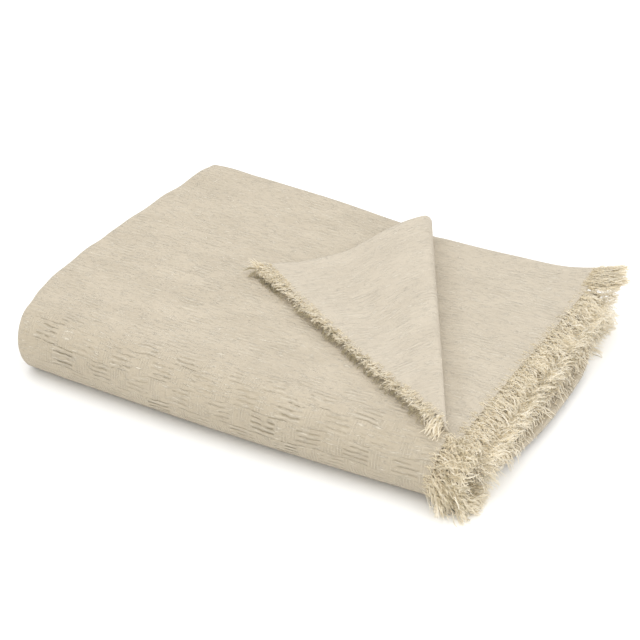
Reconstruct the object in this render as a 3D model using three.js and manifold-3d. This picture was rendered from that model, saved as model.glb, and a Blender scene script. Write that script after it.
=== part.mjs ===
// Sofa throw of slubby cotton, 150 x 200 cm, folded in quarters along its length and then in
// quarters across its width into a soft stack of sixteen layers. One corner of the top layer
// is turned over. Both short ends carry a cut fringe, and both lie at the right of the stack.
//
// Millimetres, +Z up. X runs along the folded length (fringes at +X), Y from the big soft front
// fold (-Y) to the back. The stack rests on z = 0, with the origin under its middle.
//
// The cloth is one solid. Its section in the X plane goes back and forth four times (a "pack").
// That section is swept along a path in the Y-Z plane that folds the pack four times more.

import * as THREE from "three";
import Module from "manifold-3d";

// ---- driving dimensions ---------------------------------------------------------------------

const FOLDED_LENGTH = 500; // left crease to the roots of the fringe
const FOLDED_WIDTH = 380; // front fold to back crease
const CLOTH = 2.8; // thickness of the woven cloth
const PITCH = 4.25; // one layer to the next, cloth and air
const LAYERS_IN_PACK = 4;
const PACKS = 4;

const FRINGE = 27; // length of the cut ends
const FRINGE_SPINE = 5; // closed strip at the root of each comb
const FRINGE_GAP = 0.45; // between the cloth and its combs
const FRINGE_THICKNESS = 2.2;
const TOOTH_PITCH = 19; // one tooth, or the space beside it

const TOP_BACK_EDGE = 7; // the top layers' back edge stands this far inside the folded width
const INNER_BACK_EDGE = 13; // and so does the innermost layers' back edge
const INNER_CREASE_IN = 7; // the innermost crease lies this far behind the front fold's middle
const INNER_LEFT_CREASE_IN = 3; // and each pack's inner left crease this far inside its outer one

const FRONT = -FOLDED_WIDTH / 2;
const BACK = FOLDED_WIDTH / 2;
const TOP_LEVEL = LAYERS_IN_PACK * PACKS - 1;

// Grid lines of the flat layers, across the width (y) and along the length (x), and the steps
// of each curved stretch. Every layer bends at the same lines, so the layers stay apart.
const LINES_ACROSS = {
  top: [130, 70, 10, -50, -110], bottom: [-110, -50, 70], inner: [70, -50, -110],
};
const LINES_ALONG = [-200, -120, -30, 60, 150, 210];
const TURN_STEPS = { front: 9, backCrease: 5, innerCrease: 5 };
const CREASE_STEPS = { wide: 6, tight: 4 };

// Where the layer ends reach along X at the places where the fold path changes. "first" and
// "second" are the fringed ends, "crease" is the fold between the two lower layers of the pack.
const LAYER_ENDS = [
  { place: "top back", first: 246, second: 246, crease: 236, left: -246 },
  { place: "top front", first: 228, second: 237, crease: 240, left: -249 },
  { place: "bottom front", first: 224, second: 234, crease: 244, left: -247 },
  { place: "bottom back", first: 246, second: 242, crease: 246, left: -249 },
  { place: "inner back", first: 244, second: 248, crease: 244, left: -244 },
  { place: "inner front", first: 247, second: 246, crease: 243, left: -247 },
  { place: "inner top front", first: 247, second: 246, crease: 241, left: -245 },
  { place: "inner top back", first: 245, second: 251, crease: 238, left: -247 },
];

// How the stack departs from a neat block, from front to back: how far its left creases stand in
// (left), how far the right creases of the two lower packs stand out (lowerCrease), and the
// share of the changes below that reach this far back (toBack, toFront, curl).
const ACROSS = [
  { y: -190, left: 22, lowerCrease: 0, toBack: 0, toFront: 1, curl: 0 },
  { y: -150, left: 13, lowerCrease: 0, toBack: 0, toFront: 0.9, curl: 0 },
  { y: -110, left: 4, lowerCrease: 26, toBack: 0, toFront: 0.7, curl: 0 },
  { y: -50, left: -2, lowerCrease: 31, toBack: 0.06, toFront: 0.4, curl: 0 },
  { y: 10, left: -1, lowerCrease: 31, toBack: 0.25, toFront: 0.1, curl: 0 },
  { y: 70, left: 2, lowerCrease: 29, toBack: 0.5, toFront: 0, curl: 0 },
  { y: 130, left: 6, lowerCrease: 15, toBack: 0.8, toFront: 0, curl: 0.4 },
  { y: 190, left: 10, lowerCrease: 0, toBack: 1, toFront: 0, curl: 1 },
];

// And from the left creases to the fringe: the share of "left" that reaches here (fromLeft), how
// far the front edge stands out (bow), how far the back edge stands out (back), how much of its
// height the stack has lost at the back (sink), and how far the back corner of the two top
// layers curls up off the layers below (curl).
const ALONG = [
  { x: -250, fromLeft: 1, bow: 0, back: 8, sink: -0.03, curl: 0 },
  { x: -200, fromLeft: 0.9, bow: 2, back: 9, sink: -0.02, curl: 0 },
  { x: -120, fromLeft: 0.6, bow: 4, back: 7, sink: 0.02, curl: 0 },
  { x: -30, fromLeft: 0.3, bow: 6, back: 2, sink: 0.07, curl: 0 },
  { x: 60, fromLeft: 0.1, bow: 6, back: -3, sink: 0.11, curl: 0 },
  { x: 150, fromLeft: 0, bow: 4, back: -5, sink: 0.1, curl: 0 },
  { x: 210, fromLeft: 0, bow: 2, back: -4, sink: 0.06, curl: 0 },
  { x: 277, fromLeft: 0, bow: 0, back: 0, sink: 0.01, curl: 15 },
];

const FRINGE_SAG = 7; // how far the tips of the top fringe hang below its root
const FRINGE_SPLAY = 20; // how far the lowest ends of the front fringe spread forward
const SPLAY_DEPTH = 60; // within this distance of the front

// The turned corner: ends of its fold line with half the height of its roll and the distance
// within which the roll falls to the layer below, and where its tip lands.
const FLAP = {
  front: { x: 224, y: -157, roll: 5, settle: 32 },
  back: { x: 56, y: 174, roll: 16, settle: 95 },
  tip: { x: -56, y: 9 },
};
const ROLL_WIDTH = 0.6; // the roll is this much narrower than it is high
const FLAP_EDGE_LIFT = 3.5; // its fringed edge stands off by this much
const FLAP_EDGE_BAND = 45; // within this distance of the edge
const FLAP_LEG = 16; // length over which the turned sheet is joined to the first layer
const FLAP_STEPS = { along: 8, leg: 1, roll: 6, settle: 4, flat: 3 };
const FLAP_MARGIN = 14; // the sheet is made this much too large, then cut to its outline
const FLAP_PAST_ROLL = 7; // the outline clears the roll by this much
const FLAP_EDGE_STEPS = 8;
const FLAP_TOOTH_PAIRS = 12;
const FLAP_FRINGE_ENDS = { front: 6, tip: 2 }; // bare ends of the turned corner's fringed edge
const JOIN_INSET = 0.1; // keeps the faces of joined sheets from lying in one plane

const COLOURS = { cloth: 0xded2bb, fringe: 0xd8ccae };

// ---- small helpers --------------------------------------------------------------------------

const lerp = (a, b, t) => a + (b - a) * t;
const clamp01 = (t) => Math.min(1, Math.max(0, t));
const smooth = (t) => {
  const c = clamp01(t);
  return c * c * (3 - 2 * c);
};

/** Reads a column of a table whose rows rise by their key, in straight lines between rows. */
function readTable(table, key, at, column) {
  const last = table.length - 1;
  if (at <= table[0][key]) return table[0][column];
  if (at >= table[last][key]) return table[last][column];
  const i = table.findIndex((row) => row[key] > at);
  const [low, high] = [table[i - 1], table[i]];
  return lerp(low[column], high[column], (at - low[key]) / (high[key] - low[key]));
}

const levelHeight = (level) => CLOTH / 2 + level * PITCH;

/** The stack's own unevenness: takes a point of a neat block to its place in the real stack. */
function settle(x, y, z) {
  const across = (column) => readTable(ACROSS, "y", y, column);
  const along = (column) => readTable(ALONG, "x", x, column);
  const lifted = clamp01((z - levelHeight(TOP_LEVEL - 2)) / PITCH);
  return new THREE.Vector3(
    x + along("fromLeft") * across("left"),
    y + across("toBack") * along("back") - across("toFront") * along("bow"),
    z * (1 - across("toBack") * along("sink")) + lifted * across("curl") * along("curl"),
  );
}

// ---- the path that folds the pack across the width ------------------------------------------

/**
 * Stations along the path. Each has the place of the outermost layer in the Y-Z plane, the
 * direction towards the other layers, and the layer ends there.
 */
function foldPath() {
  const frontRadius = (TOP_LEVEL / 2) * PITCH;
  const packRadius = ((2 * LAYERS_IN_PACK - 1) / 2) * PITCH;
  const frontCentre = FRONT + frontRadius + CLOTH / 2;
  const backCentre = BACK - packRadius - CLOTH / 2;
  const innerCentre = frontCentre + INNER_CREASE_IN;
  const middle = levelHeight(TOP_LEVEL / 2);
  const packMiddle = levelHeight((2 * LAYERS_IN_PACK - 1) / 2);

  /** A flat row of layers from one y to another, bent only at its grid lines. */
  const flat = (from, to, lines, level, inward) =>
    [from, ...lines, to].map((y) => ({
      share: (y - from) / (to - from), y, z: levelHeight(level), inY: 0, inZ: inward,
    }));

  /** A half turn about a centre, up or down, with the other layers inside or outside it. */
  const turn = (steps, centreY, centreZ, radius, start, sweep, inward) =>
    Array.from({ length: steps + 1 }, (_, i) => {
      const angle = start + (sweep * i) / steps;
      const [c, s] = [Math.cos(angle), Math.sin(angle)];
      return {
        share: i / steps,
        y: centreY + radius * c, z: centreZ + radius * s, inY: inward * c, inZ: inward * s,
      };
    });

  const [up, down] = [Math.PI / 2, -Math.PI / 2];
  const topOfInner = 2 * LAYERS_IN_PACK - 1;
  const stretches = [
    flat(BACK - TOP_BACK_EDGE, frontCentre, LINES_ACROSS.top, TOP_LEVEL, -1),
    turn(TURN_STEPS.front, frontCentre, middle, frontRadius, up, Math.PI, -1),
    flat(frontCentre, backCentre, LINES_ACROSS.bottom, 0, 1),
    turn(TURN_STEPS.backCrease, backCentre, packMiddle, packRadius, down, Math.PI, -1),
    flat(backCentre, innerCentre, LINES_ACROSS.inner, topOfInner, -1),
    turn(TURN_STEPS.innerCrease, innerCentre, middle, PITCH / 2, down, -Math.PI, 1),
    flat(innerCentre, BACK - INNER_BACK_EDGE, [...LINES_ACROSS.top].reverse(), topOfInner + 1, 1),
  ];

  const lowerRows = [2, 4]; // the flat rows of the two lower packs
  return stretches.flatMap((stretch, i) =>
    stretch.slice(i === 0 ? 0 : 1).map((station) => {
      const ends = {};
      for (const column of ["first", "second", "crease", "left"]) {
        ends[column] = lerp(LAYER_ENDS[i][column], LAYER_ENDS[i + 1][column], station.share);
      }
      if (lowerRows.includes(i)) ends.crease += readTable(ACROSS, "y", station.y, "lowerCrease");
      return { ...station, ...ends, stretch: i };
    }));
}

/** The place of a point that lies at x, this deep below the outermost layer, at a station. */
const placeAt = (station, x, depth) =>
  settle(x, station.y + station.inY * depth, station.z + station.inZ * depth);

// ---- the section that goes back and forth along the length -----------------------------------

/** Closed outline of the pack's section at one station, as [x, depth] points. */
function packSection({ first, second, crease, left }) {
  const skin = CLOTH / 2;
  const depthOf = (layer) => layer * PITCH;
  const outerX = left + 1.5 * PITCH + skin;
  const innerX = outerX + INNER_LEFT_CREASE_IN;
  const creaseX = crease - PITCH / 2 - skin;
  const points = [];

  const run = (from, to, depth) => {
    const between = to > from ? LINES_ALONG : [...LINES_ALONG].reverse();
    for (const x of [from, ...between]) points.push([x, depth]);
  };
  const arc = (steps, x, depth, radius, start, sweep) => {
    for (let i = 0; i < steps; i += 1) {
      const angle = start + (sweep * i) / steps;
      points.push([x + radius * Math.cos(angle), depth + radius * Math.sin(angle)]);
    }
  };
  const quarter = Math.PI / 2;

  // outside of the sheet: first layer, left crease, fourth layer, right crease, third layer
  run(first, outerX, depthOf(0) - skin);
  arc(CREASE_STEPS.wide, outerX, depthOf(1.5), 1.5 * PITCH + skin, -quarter, -2 * quarter);
  run(outerX, creaseX, depthOf(3) + skin);
  arc(CREASE_STEPS.tight, creaseX, depthOf(2.5), PITCH / 2 + skin, quarter, -2 * quarter);
  run(creaseX, innerX, depthOf(2) - skin);
  arc(CREASE_STEPS.tight, innerX, depthOf(1.5), PITCH / 2 - skin, quarter, 2 * quarter);
  run(innerX, second, depthOf(1) + skin);
  points.push([second, depthOf(1) + skin]);

  // and back along its other side
  run(second, innerX, depthOf(1) - skin);
  arc(CREASE_STEPS.tight, innerX, depthOf(1.5), PITCH / 2 + skin, -quarter, -2 * quarter);
  run(innerX, creaseX, depthOf(2) + skin);
  arc(CREASE_STEPS.tight, creaseX, depthOf(2.5), PITCH / 2 - skin, -quarter, 2 * quarter);
  run(creaseX, outerX, depthOf(3) - skin);
  arc(CREASE_STEPS.wide, outerX, depthOf(1.5), 1.5 * PITCH - skin, quarter, 2 * quarter);
  run(outerX, first, depthOf(0) + skin);
  points.push([first, depthOf(0) + skin]);
  return points;
}

/** Turns a closed mesh so that its faces point out. */
function facingOut({ positions, triangles }) {
  const corner = (index) => new THREE.Vector3(...positions.slice(3 * index, 3 * index + 3));
  let volume = 0;
  for (let t = 0; t < triangles.length; t += 3) {
    const [a, b, c] = [corner(triangles[t]), corner(triangles[t + 1]), corner(triangles[t + 2])];
    volume += a.dot(b.cross(c));
  }
  return { positions, triangles: volume < 0 ? [...triangles].reverse() : triangles };
}

/** Sweeps the section along the stations and closes both ends. */
function sweepPack(stations) {
  const sections = stations.map(packSection);
  const positions = stations.flatMap((station, i) =>
    sections[i].flatMap(([x, depth]) => placeAt(station, x, depth).toArray()));
  const count = sections[0].length;
  const triangles = [];
  const quad = (a, b, c, d) => triangles.push(a, b, c, a, c, d);
  for (let i = 0; i + 1 < stations.length; i += 1) {
    for (let j = 0; j < count; j += 1) {
      const k = (j + 1) % count;
      quad(i * count + j, i * count + k, (i + 1) * count + k, (i + 1) * count + j);
    }
  }
  // The two sides of the sheet have the same number of points, so each end closes in cells.
  const last = (stations.length - 1) * count;
  for (let j = 0; j + 1 < count / 2; j += 1) {
    const across = [count - 1 - j, count - 2 - j, j + 1, j];
    quad(...across);
    quad(...across.map((index) => last + index).reverse());
  }
  return facingOut({ positions, triangles });
}

// ---- sheets made from a grid of cells --------------------------------------------------------

/**
 * A closed sheet of cells. face(i, j, side) gives the corner at grid line i, j on its lower
 * (side 0) or upper (side 1) face, and filled(i, j) says whether a cell is there.
 */
function cellSheet(columns, rows, face, filled = () => true) {
  const index = new Map();
  const positions = [];
  const triangles = [];
  const corner = (i, j, side) => {
    const key = `${i},${j},${side}`;
    if (!index.has(key)) {
      index.set(key, positions.length / 3);
      positions.push(...face(i, j, side).toArray());
    }
    return index.get(key);
  };
  const quad = (a, b, c, d) => triangles.push(a, b, c, a, c, d);
  const isFilled = (i, j) => i >= 0 && j >= 0 && i < columns && j < rows && filled(i, j);
  for (let i = 0; i < columns; i += 1) {
    for (let j = 0; j < rows; j += 1) {
      if (!isFilled(i, j)) continue;
      const ring = [[i, j], [i + 1, j], [i + 1, j + 1], [i, j + 1]];
      quad(...ring.map(([p, q]) => corner(p, q, 1)));
      quad(...ring.map(([p, q]) => corner(p, q, 0)).reverse());
      const beside = [[i, j - 1], [i + 1, j], [i, j + 1], [i - 1, j]];
      beside.forEach(([p, q], k) => {
        if (isFilled(p, q)) return;
        const [from, to] = [ring[k], ring[(k + 1) % 4]];
        quad(corner(...from, 0), corner(...to, 0), corner(...to, 1), corner(...from, 1));
      });
    }
  }
  return facingOut({ positions, triangles });
}

// ---- the turned corner of the top layer -------------------------------------------------------

const foldFront = new THREE.Vector2(FLAP.front.x, FLAP.front.y);
const foldBack = new THREE.Vector2(FLAP.back.x, FLAP.back.y);
const flapTip = new THREE.Vector2(FLAP.tip.x, FLAP.tip.y);
const foldLength = foldFront.distanceTo(foldBack);
const alongFold = foldBack.clone().sub(foldFront).normalize();
const acrossFold = new THREE.Vector2(alongFold.y, -alongFold.x); // away from the turned corner
const topLayer = levelHeight(TOP_LEVEL);

const rollAt = (q) => lerp(FLAP.front.roll, FLAP.back.roll, clamp01(q / foldLength));
const settleAt = (q) => lerp(FLAP.front.settle, FLAP.back.settle, clamp01(q / foldLength));
const rollArc = Math.PI * Math.sqrt((1 + ROLL_WIDTH ** 2) / 2); // for a roll of 1
const inPlan = (q, u) => foldFront.clone().addScaledVector(alongFold, q).addScaledVector(acrossFold, u);

/** Height of the turned corner's middle above the first layer's, this far inside its fold. */
function flapRise(q, inside) {
  const plan = inPlan(q, -inside);
  const toTip = flapTip.clone().sub(foldFront).normalize();
  const fromFront = plan.sub(foldFront);
  const fromEdge = Math.abs(toTip.cross(fromFront));
  const resting = PITCH + FLAP_EDGE_LIFT * smooth(1 - fromEdge / FLAP_EDGE_BAND);
  const raised = 2 * rollAt(q);
  return lerp(raised, resting, smooth(inside / settleAt(q)));
}

/** Centre and upward normal of the turned sheet at q along its fold and w along its profile. */
function flapProfile(q, w) {
  const roll = rollAt(q);
  const width = ROLL_WIDTH * roll;
  const tangent = -width; // the sheet leaves the first layer here
  if (w <= 0) return { u: tangent + w, z: 0, nu: 0, nz: -1 };
  if (w < rollArc * roll) {
    const angle = (Math.PI * w) / (rollArc * roll);
    const [nu, nz] = [Math.sin(angle), -ROLL_WIDTH * Math.cos(angle)];
    const size = Math.hypot(nu, nz);
    return {
      u: tangent + width * Math.sin(angle), z: roll * (1 - Math.cos(angle)),
      nu: nu / size, nz: nz / size,
    };
  }
  const inside = w - rollArc * roll;
  return { u: tangent - inside, z: flapRise(q, inside), nu: 0, nz: 1 };
}

/** The turned sheet over a whole strip along its fold, before its edges are cut. */
function flapStrip() {
  const foldToTip = -flapTip.clone().sub(foldFront).dot(acrossFold);
  const { along, leg, roll: rollSteps, settle: settleSteps, flat } = FLAP_STEPS;
  const columns = leg + rollSteps + settleSteps + flat;
  const widthAt = (i, q) => {
    const arcLength = rollArc * rollAt(q);
    if (i <= leg) return -FLAP_LEG * (1 - i / leg);
    if (i <= leg + rollSteps) return (arcLength * (i - leg)) / rollSteps;
    const past = i - leg - rollSteps;
    if (past <= settleSteps) return arcLength + (settleAt(q) * past) / settleSteps;
    return arcLength + lerp(settleAt(q), foldToTip, (past - settleSteps) / flat);
  };
  return cellSheet(columns, along, (i, j, side) => {
    const q = lerp(-FLAP_MARGIN, foldLength + FLAP_MARGIN, j / along);
    const { u, z, nu, nz } = flapProfile(q, widthAt(i, q));
    const half = (side ? 1 : -1) * (CLOTH / 2 - JOIN_INSET);
    const plan = inPlan(q, u + nu * half);
    return settle(plan.x, plan.y, topLayer + z + nz * half);
  });
}

/** An upright block over an outline of plan points, carried along by the stack's unevenness. */
function uprightBlock(outline, low, high) {
  const corners = outline.map(({ x, y }) => settle(x, y, 0));
  if (THREE.ShapeUtils.isClockWise(corners)) corners.reverse();
  const positions = [low, high].flatMap((z) => corners.flatMap(({ x, y }) => [x, y, z]));
  const count = corners.length;
  const triangles = [];
  const cap = THREE.ShapeUtils.triangulateShape(corners, []);
  for (const [a, b, c] of cap) triangles.push(c, b, a, a + count, b + count, c + count);
  for (let i = 0; i < count; i += 1) {
    const k = (i + 1) % count;
    triangles.push(i, k, k + count, i, k + count, i + count);
  }
  return facingOut({ positions, triangles });
}

/** Points from one corner up to, not including, the next. */
const pointsTowards = (from, to, steps) =>
  Array.from({ length: steps }, (_, i) => from.clone().lerp(to, i / steps));

/** The outline of the turned corner, pushed out past its roll. */
function flapOutline() {
  const edgeMeets = (corner) => {
    const away = corner.clone().sub(flapTip).normalize();
    return corner.clone().addScaledVector(away, FLAP_PAST_ROLL / away.dot(acrossFold));
  };
  const [front, back] = [edgeMeets(foldFront), edgeMeets(foldBack)];
  return [
    ...pointsTowards(flapTip, front, FLAP_EDGE_STEPS), ...pointsTowards(front, back, 1),
    ...pointsTowards(back, flapTip, FLAP_EDGE_STEPS),
  ];
}

/** The space above the second layer past the fold line, which the first layer has left. */
function bareCorner() {
  const beyond = 60; // outside the stack on every side
  const linesX = [-FOLDED_LENGTH / 2 - beyond, ...LINES_ALONG, FOLDED_LENGTH / 2 + FRINGE];
  const linesY = [FRONT - beyond, ...[...LINES_ACROSS.top].reverse(), BACK + beyond];
  const over = cellSheet(linesX.length - 1, linesY.length - 1, (i, j, side) =>
    settle(linesX[i], linesY[j], side ? topLayer + beyond : levelHeight(TOP_LEVEL - 0.5)));
  const foldEnds = [
    inPlan(0, -ROLL_WIDTH * FLAP.front.roll), inPlan(foldLength, -ROLL_WIDTH * FLAP.back.roll),
  ];
  const past = foldEnds[1].clone().sub(foldEnds[0]).setLength(beyond);
  foldEnds[1].add(past);
  const farX = FOLDED_LENGTH / 2 + beyond;
  const outline = [
    ...pointsTowards(foldEnds[0], foldEnds[1], FLAP_EDGE_STEPS), foldEnds[1],
    new THREE.Vector2(farX, foldEnds[1].y), new THREE.Vector2(farX, foldEnds[0].y),
  ];
  return asSolid(over).intersect(asSolid(uprightBlock(outline, 0, topLayer + beyond)));
}

// ---- fringes ----------------------------------------------------------------------------------

/**
 * How a fringe hangs past the longer of the two ends: the upper ones sag, the lowest front ends
 * spread forward. Both combs follow the same shape, so they stay apart.
 */
function hang(place, longerEnd) {
  const beyond = clamp01((place.x - longerEnd) / FRINGE);
  const upper = clamp01((2 * place.z) / levelHeight(TOP_LEVEL - 2) - 1);
  const lower = clamp01(1 - place.z / levelHeight(TOP_LEVEL / 2));
  const forward = smooth((2 * (FRONT + SPLAY_DEPTH - place.y)) / SPLAY_DEPTH);
  place.y -= FRINGE_SPLAY * beyond * lower * forward;
  place.z -= FRINGE_SAG * beyond ** 2 * upper;
  return place;
}

/** Comb along one end of the stack: a closed strip at its root, and a tooth in every other row. */
function stackFringe(stations, layer, column) {
  const rows = [];
  stations.forEach((station, i) => {
    const before = stations[Math.max(0, i - 1)];
    const length = Math.hypot(station.y - before.y, station.z - before.z);
    const steps = Math.max(1, Math.round(length / TOOTH_PITCH));
    for (let k = 1; k <= steps; k += 1) rows.push({ before, station, share: k / steps });
  });
  const reaches = [FRINGE_GAP, FRINGE_SPINE, FRINGE];
  return cellSheet(
    reaches.length - 1, rows.length - 1,
    (i, j, side) => {
      const { before, station, share } = rows[j];
      const depth = layer * PITCH + (side ? -0.5 : 0.5) * FRINGE_THICKNESS;
      const edge = (at) => placeAt(at, at[column] + reaches[i], depth);
      const longer = (at) => Math.max(at.first, at.second);
      return hang(edge(before).lerp(edge(station), share), lerp(longer(before), longer(station), share));
    },
    (i, j) => i === 0 || j % 2 === 0,
  );
}

/** Comb along the fringed edge of the turned corner. */
function flapFringe() {
  const toTip = flapTip.clone().sub(foldFront);
  const length = toTip.length();
  toTip.normalize();
  const outward = new THREE.Vector2(-toTip.y, toTip.x); // away from the turned sheet
  const { front, tip } = FLAP_FRINGE_ENDS;
  const rows = 2 * FLAP_TOOTH_PAIRS + 1;
  const reaches = [FRINGE_GAP, FRINGE_SPINE, FRINGE];
  return cellSheet(
    rows, reaches.length - 1,
    (i, j, side) => {
      const root = foldFront.clone().addScaledVector(toTip, lerp(front, length - tip, i / rows));
      const fromFront = root.clone().sub(foldFront);
      const q = fromFront.dot(alongFold);
      const inside = Math.max(0, -fromFront.dot(acrossFold) - ROLL_WIDTH * rollAt(q));
      const rise = flapRise(q, inside);
      const plan = root.addScaledVector(outward, reaches[j]);
      return settle(plan.x, plan.y, topLayer + rise + (side ? 0.5 : -0.5) * FRINGE_THICKNESS);
    },
    (i, j) => j === 0 || i % 2 === 0,
  );
}

// ---- from meshes to solids, and back ----------------------------------------------------------

const wasm = await Module();
wasm.setup();

const asSolid = ({ positions, triangles }) =>
  new wasm.Manifold(new wasm.Mesh({
    numProp: 3,
    vertProperties: new Float32Array(positions),
    triVerts: new Uint32Array(triangles),
  }));

const fromSolid = (solid) => {
  const { vertProperties, triVerts } = solid.getMesh();
  return { positions: vertProperties, triangles: triVerts };
};

function named(name, { positions, triangles }, material) {
  const geometry = new THREE.BufferGeometry();
  geometry.setAttribute("position", new THREE.Float32BufferAttribute(positions, 3));
  geometry.setIndex([...triangles]);
  geometry.computeVertexNormals();
  const mesh = new THREE.Mesh(geometry, material);
  mesh.name = name;
  return mesh;
}

// ---- assembly ---------------------------------------------------------------------------------

const stations = foldPath();
const flapBlock = asSolid(uprightBlock(flapOutline(), 0, 2 * topLayer));
const turnedCorner = asSolid(flapStrip()).intersect(flapBlock);
const cloth = asSolid(sweepPack(stations)).subtract(bareCorner()).add(turnedCorner);

const clothMaterial = new THREE.MeshStandardMaterial({
  name: "slub_cotton", color: COLOURS.cloth, roughness: 0.92, metalness: 0,
});
const fringeMaterial = new THREE.MeshStandardMaterial({
  name: "cut_cotton_yarn", color: COLOURS.fringe, roughness: 0.95, metalness: 0,
});

const fromFrontFold = stations.filter((station) => station.stretch > 0);

const group = new THREE.Group();
group.add(named("throw_cloth", fromSolid(cloth), clothMaterial));
group.add(named("fringe_first_end", stackFringe(fromFrontFold, 0, "first"), fringeMaterial));
group.add(named("fringe_turned_corner", flapFringe(), fringeMaterial));
group.add(named("fringe_second_end", stackFringe(stations, 1, "second"), fringeMaterial));

// The origin goes under the middle of the whole, on the surface it rests on.
const bounds = new THREE.Box3().setFromObject(group);
const middle = bounds.getCenter(new THREE.Vector3());
group.position.set(-middle.x, -middle.y, -bounds.min.z);

export default group;
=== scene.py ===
"""A slubby cotton sofa throw, folded in quarters both ways, with one corner turned over."""

import math

import bmesh
import bpy
import numpy as np
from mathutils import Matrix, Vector


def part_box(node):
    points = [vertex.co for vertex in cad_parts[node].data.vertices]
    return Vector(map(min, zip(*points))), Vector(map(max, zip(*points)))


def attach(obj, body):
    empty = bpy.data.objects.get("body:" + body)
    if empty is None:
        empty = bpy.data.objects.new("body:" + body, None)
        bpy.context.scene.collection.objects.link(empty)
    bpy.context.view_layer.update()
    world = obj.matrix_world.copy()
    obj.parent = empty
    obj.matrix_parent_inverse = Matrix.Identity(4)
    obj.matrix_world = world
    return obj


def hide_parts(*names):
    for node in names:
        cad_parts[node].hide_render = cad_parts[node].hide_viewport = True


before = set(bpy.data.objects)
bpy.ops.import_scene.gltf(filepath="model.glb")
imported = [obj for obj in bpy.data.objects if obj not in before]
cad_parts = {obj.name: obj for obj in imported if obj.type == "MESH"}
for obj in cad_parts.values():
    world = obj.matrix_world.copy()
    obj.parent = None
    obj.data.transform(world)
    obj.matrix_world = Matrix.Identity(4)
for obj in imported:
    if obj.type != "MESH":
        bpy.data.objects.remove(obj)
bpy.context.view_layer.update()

# ---- sizes, in millimetres (meshes are made in metres) ----

MM = 0.001
FOLDED_LENGTH = 500.0
FOLDED_WIDTH = 380.0
CLOTH = 2.5
PITCH = 4.25  # from one layer to the next, cloth and air
SKIN = 1.4  # the lowest layer's middle lies this high
LAYERS_IN_PACK = 4
TOP_LEVEL = 15  # the highest of the sixteen layers, counted from 0
FRONT = -FOLDED_WIDTH / 2
BACK = FOLDED_WIDTH / 2
TOP_BACK_EDGE = 7.0
INNER_BACK_EDGE = 13.0
INNER_CREASE_IN = 7.0
INNER_LEFT_CREASE_IN = 3.0
INNER_BULGE = 0.75  # the inner stretch's crease bulges this much of what the lowest one's does

# Where the layer ends reach along X at each change of the fold path. "first" and "second" are the
# fringed ends, "crease" is the fold between the two lower layers of the pack.
LAYER_ENDS = {
    #          top            bottom         inner          inner top
    #          back   front   front  back    back   front   front  back
    "first": (270.0, 228.0, 224.0, 246.0, 244.0, 247.0, 247.0, 245.0),
    "second": (246.0, 237.0, 234.0, 242.0, 248.0, 246.0, 246.0, 251.0),
    "crease": (236.0, 240.0, 244.0, 246.0, 244.0, 243.0, 241.0, 238.0),
    "left": (-246.0, -249.0, -247.0, -249.0, -244.0, -247.0, -245.0, -247.0),
}
STRETCHES = range(7)
TOP, FRONT_TURN, BOTTOM, BACK_CREASE, INNER, INNER_CREASE, INNER_TOP = STRETCHES

# The stack's unevenness from front to back, and from left to right. "left", "lower_crease", "bow",
# "back" and the second "curl" are shifts. The rest are shares that say where a shift holds, and
# "sink" is a share of the height.
ACROSS = {
    "y": (-190, -150, -110, -50, 10, 70, 130, 190),
    "left": (22, 13, 4, -2, -1, 2, 6, 10),
    "lower_crease": (0, 0, 18, 29, 31, 29, 15, 0),
    "to_back": (0, 0, 0, 0.06, 0.25, 0.5, 0.8, 1),
    "to_front": (1, 0.9, 0.7, 0.4, 0.1, 0, 0, 0),
    "curl": (0, 0, 0, 0, 0, 0, 0.4, 1),
}
ALONG = {
    "x": (-250, -200, -120, -30, 60, 150, 210, 277),
    "from_left": (1, 0.9, 0.6, 0.3, 0.1, 0, 0, 0),
    "bow": (0, 2, 4, 6, 6, 4, 2, 0),
    "back": (8, 9, 7, 2, -3, -5, -4, 0),
    "sink": (-0.03, -0.02, 0.02, 0.07, 0.11, 0.1, 0.06, 0.01),
    "curl": (0, 0, 0, 0, 0, 0, 0, 15),
}

# The turned corner: the ends of its fold line, and the radius of its roll at each.
FOLD_FRONT = np.array([224.0, -157.0])
FOLD_BACK = np.array([56.0, 174.0])
TURNED_BACK_IN = 9.5  # the turned layer's back edge stands this far inside the next one's
ROLL_FRONT = 5.0
ROLL_BACK = 16.0
ROLL_WIDTH = 0.6  # of its height
SETTLE_FRONT = 32.0  # within this distance the roll falls to the layer below
SETTLE_BACK = 105.0
SETTLE_SHAPE = 1.25  # above 1, the roll stays full for longer before it falls
FLAP_EDGE_LIFT = 5.5  # the fringed edge stands this far off the top, over this width
FLAP_EDGE_BAND = 45.0
FLAP_EDGE_BOW = 16.0  # the fringed edge bows out by this near the front
FLAP_EDGE_HOLLOW = 9.0  # and in by this near the back

# Soft marks on the top beside the fold line, and the uneven top and left side.
MARK_WIDTH = 9.0
TROUGH_AT = 5.0
TROUGH_DEPTH = 1.0
RIDGE_AT = 27.0
RIDGE_HEIGHT = 1.6
BACK_LEFT_RISE = 3.5
WAVE_HEIGHT = 0.9
RIPPLE_HEIGHT = 0.5
LEFT_SWELL = 0.9
LEFT_LUMP = 0.6
CORNER_IN_X = 6.0  # the back left corner is rounded off by this
CORNER_IN_Y = 4.0


# ---- small helpers ----


def lerp(a, b, t):
    return a + (b - a) * t


def smooth(t):
    t = np.clip(t, 0.0, 1.0)
    return t * t * (3 - 2 * t)


def unit(v):
    return v / np.maximum(np.linalg.norm(v, axis=-1, keepdims=True), 1e-6)


def ramp(value, start, over):
    """0 up to start, then a soft rise to 1 over the given distance."""
    return smooth((value - start) / over)


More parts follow.
